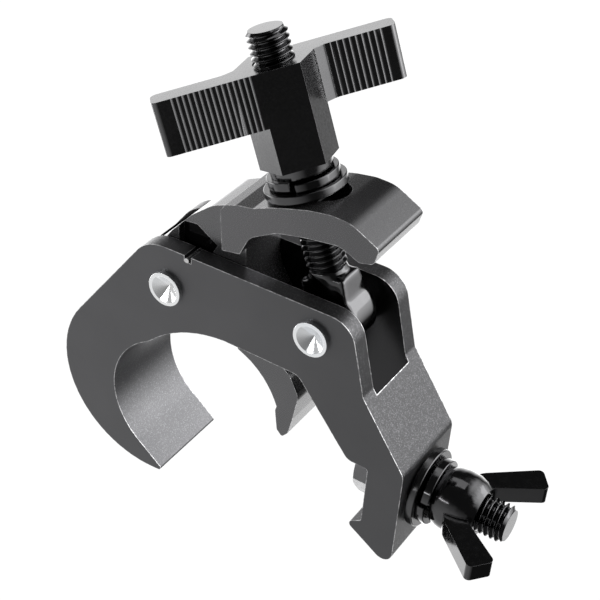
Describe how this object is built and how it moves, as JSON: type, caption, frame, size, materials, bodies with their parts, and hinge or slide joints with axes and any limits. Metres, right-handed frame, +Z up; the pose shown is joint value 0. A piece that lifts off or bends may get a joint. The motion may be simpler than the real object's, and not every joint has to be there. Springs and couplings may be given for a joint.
{
  "type": "pipe clamp",
  "caption": "Hook clamp for hanging stage lights on a pipe: slotted hook body, hinged lever jaw drawn up by an eyebolt and T-handle, mounting bolt with wing nut below.",
  "frame": {"origin": "centre of the gripped pipe, half way along the clamp's width", "axes": "+Y along the pipe into the clamp's back cheek, +Z up and away from the mounting bolt, +X towards the T-handle"},
  "size_m": [0.1622, 0.0584, 0.1559],
  "materials": {
    "anodised_body": "satin dark grey anodised",
    "anodised_lever": "satin dark grey anodised",
    "zinc": "bright zinc",
    "spring_steel": "bright drawn wire",
    "black_steel": "glossy black plating",
    "black_paint": "satin black coating",
    "bolt_steel": "plain plated steel"
  },
  "bodies": {
    "body": {"hook_body": "anodised_body", "lever_pin": "zinc", "eyebolt_pin": "zinc", "torsion_spring": "spring_steel", "mounting_bolt": "bolt_steel"},
    "lever": {"clamp_lever": "anodised_lever"},
    "eyebolt": {"eyebolt": "black_steel"},
    "handle_stack": {"handle_washer": "black_steel", "handle_spring_washer": "black_steel"},
    "handle": {"t_handle": "black_paint"},
    "mounting_stack": {"mounting_washer": "black_steel", "mounting_spring_washer": "black_steel"},
    "nut": {"wing_nut": "black_paint"}
  },
  "joints": [
    {"name": "eyebolt_swing", "type": "hinge", "parent": "body", "child": "eyebolt", "pos_m": [0.05155, 0, -0.04493], "axis": [0, 1, 0], "range_deg": [0, 7.7]},
    {"name": "lever_swing", "type": "hinge", "parent": "body", "child": "lever", "pos_m": [0.04606, 0, 0.00561], "axis": [0, 1, 0], "range_deg": [0, 12.75]},
    {"name": "handle_travel", "type": "slide", "parent": "eyebolt", "child": "handle_stack", "axis": [-0.9315, 0, -0.3637], "range_m": [0, 0.01058]},
    {"name": "handle_spin", "type": "hinge", "parent": "handle_stack", "child": "handle", "pos_m": [0.05155, 0, -0.04493], "axis": [-0.9315, 0, -0.3637], "range_deg": [0, 2156]},
    {"name": "wing_nut_travel", "type": "slide", "parent": "body", "child": "mounting_stack", "axis": [0, 0, -1], "range_m": [0, 0.0071]},
    {"name": "wing_nut_spin", "type": "hinge", "parent": "mounting_stack", "child": "nut", "pos_m": [0.003, 0, -0.09], "axis": [0, 0, -1], "range_deg": [0, 1440]}
  ],
  "couplings": [
    {"joint": "handle_travel", "follows": "handle_spin", "m_per_rad": 0.00027852},
    {"joint": "lever_swing", "follows": "handle_spin", "ratio": 0.0058905},
    {"joint": "eyebolt_swing", "follows": "handle_spin", "ratio": 0.0035343},
    {"joint": "wing_nut_travel", "follows": "wing_nut_spin", "m_per_rad": 0.00027852}
  ]
}
